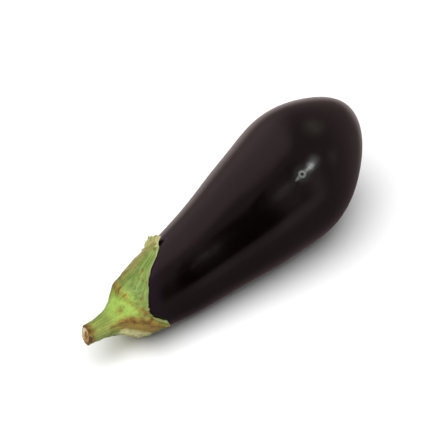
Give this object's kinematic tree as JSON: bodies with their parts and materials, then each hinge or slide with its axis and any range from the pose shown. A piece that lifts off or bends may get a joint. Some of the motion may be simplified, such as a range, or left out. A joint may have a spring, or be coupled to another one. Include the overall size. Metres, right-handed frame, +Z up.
{
  "type": "eggplant",
  "caption": "Long pear-shaped eggplant lying on its side, with a lobed green calyx and a short cut stem",
  "frame": {"origin": "centre of the object's box on the ground plane it rests on", "axes": "+X from the stem to the blossom end, +Z up, +Y to the left seen from the stem end"},
  "size_m": [0.2296, 0.0836, 0.0858],
  "materials": {
    "skin": "glossy black-purple skin",
    "calyx": "leathery green with brown ribs",
    "stem": "fibrous green-brown stalk with a dry pale cut face"
  },
  "bodies": {
    "root": {"fruit": "skin", "calyx": "calyx", "stem": "stem"}
  },
  "joints": []
}
